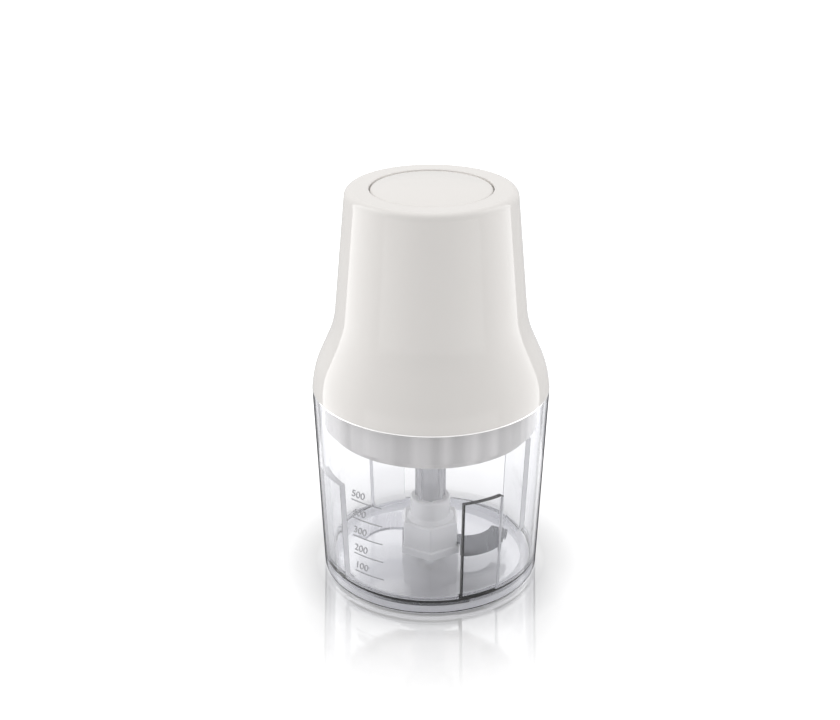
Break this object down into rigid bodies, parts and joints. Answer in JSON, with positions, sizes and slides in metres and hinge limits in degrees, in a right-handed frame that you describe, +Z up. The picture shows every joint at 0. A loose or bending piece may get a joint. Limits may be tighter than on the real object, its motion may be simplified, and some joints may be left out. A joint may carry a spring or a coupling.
{
  "type": "electric mini chopper",
  "caption": "Press-top electric mini chopper: clear tapered bowl with a pinned sickle-blade unit under a lift-off bell-shaped motor unit with a sprung push button on top.",
  "frame": {"origin": "centre of the bowl's foot ring, on the surface that the chopper stands on", "axes": "+Z up along the drive axis, -Y towards the front where the volume scale is read, +X to the right seen from the front"},
  "size_m": [0.122, 0.122, 0.2105],
  "materials": {
    "clear_bowl": "clear polished",
    "hub_plastic": "milky translucent",
    "white_shell": "glossy warm white",
    "collar_plastic": "satin pale grey",
    "dark_rubber": "matte",
    "foot_rubber": "milky soft",
    "steel": "bright turned",
    "blade_steel": "ground",
    "core_steel": "laminated",
    "bracket_metal": "die cast",
    "bronze": "sintered",
    "brass": "pressed",
    "copper_wire": "enamelled",
    "carbon": "matte",
    "gear_plastic": "moulded acetal",
    "inner_plastic": "moulded",
    "black_plastic": "moulded",
    "red_plastic": "moulded"
  },
  "bodies": {
    "bowl": {"bowl": "clear_bowl", "foot_ring": "foot_rubber", "bowl_pin": "steel"},
    "blade_unit": {"blade_hub": "hub_plastic", "hub_bush": "bronze", "lower_blade": "blade_steel", "upper_blade": "blade_steel"},
    "motor_unit": {"motor_housing": "white_shell", "base_plate": "collar_plastic", "cord_gland": "white_shell", "housing_screws": "steel", "shaft_seal": "dark_rubber", "output_bush": "bronze", "ring_gear": "gear_plastic", "lower_bracket": "bracket_metal", "bracket_screws": "steel", "lower_bearing": "bronze", "stator_core": "core_steel", "field_coils": "copper_wire", "upper_bracket": "bracket_metal", "through_bolts": "steel", "upper_bearing": "bronze", "brush_holders": "brass", "carbon_brushes": "carbon", "brush_springs": "steel", "switch_bracket": "inner_plastic", "switch_screws": "steel", "switch_body": "black_plastic", "button_spring": "steel"},
    "button": {"push_button": "white_shell"},
    "switch_plunger": {"switch_plunger": "red_plastic"},
    "rotor": {"motor_shaft": "steel", "rotor_core": "core_steel", "armature_winding": "copper_wire", "commutator": "copper_wire", "cooling_fan": "black_plastic", "sun_pinion": "steel"},
    "output_drive": {"output_coupling": "inner_plastic", "planet_carrier": "bracket_metal", "planet_pins": "steel"},
    "planet_1": {"planet_gear_1": "gear_plastic"},
    "planet_2": {"planet_gear_2": "gear_plastic"},
    "planet_3": {"planet_gear_3": "gear_plastic"}
  },
  "joints": [
    {"name": "motor_lift", "type": "slide", "parent": "bowl", "child": "motor_unit", "axis": [0, 0, 1], "range_m": [0, 0.06]},
    {"name": "button_press", "type": "slide", "parent": "motor_unit", "child": "button", "axis": [0, 0, -1], "range_m": [0, 0.003], "stiffness_N_per_m": 500, "springref_m": -0.004, "deforming": ["button_spring"]},
    {"name": "plunger_press", "type": "slide", "parent": "motor_unit", "child": "switch_plunger", "axis": [0, 0, -1], "range_m": [0, 0.003]},
    {"name": "rotor_spin", "type": "hinge", "parent": "motor_unit", "child": "rotor", "pos_m": [0, 0, 0.137], "axis": [0, 0, 1], "continuous": true},
    {"name": "output_spin", "type": "hinge", "parent": "motor_unit", "child": "output_drive", "pos_m": [0, 0, 0.094], "axis": [0, 0, 1], "continuous": true},
    {"name": "planet_1_spin", "type": "hinge", "parent": "output_drive", "child": "planet_1", "pos_m": [0.012, 0, 0.106], "axis": [0, 0, 1], "continuous": true},
    {"name": "planet_2_spin", "type": "hinge", "parent": "output_drive", "child": "planet_2", "pos_m": [-0.006, 0.01039, 0.106], "axis": [0, 0, 1], "continuous": true},
    {"name": "planet_3_spin", "type": "hinge", "parent": "output_drive", "child": "planet_3", "pos_m": [-0.006, -0.01039, 0.106], "axis": [0, 0, 1], "continuous": true},
    {"name": "blade_spin", "type": "hinge", "parent": "bowl", "child": "blade_unit", "pos_m": [0, 0, 0.02], "axis": [0, 0, 1], "continuous": true}
  ],
  "couplings": [
    {"joint": "plunger_press", "follows": "button_press", "ratio": 1},
    {"joint": "output_spin", "follows": "rotor_spin", "ratio": 0.25},
    {"joint": "blade_spin", "follows": "rotor_spin", "ratio": 0.25},
    {"joint": "planet_1_spin", "follows": "rotor_spin", "ratio": -0.75},
    {"joint": "planet_2_spin", "follows": "rotor_spin", "ratio": -0.75},
    {"joint": "planet_3_spin", "follows": "rotor_spin", "ratio": -0.75}
  ]
}
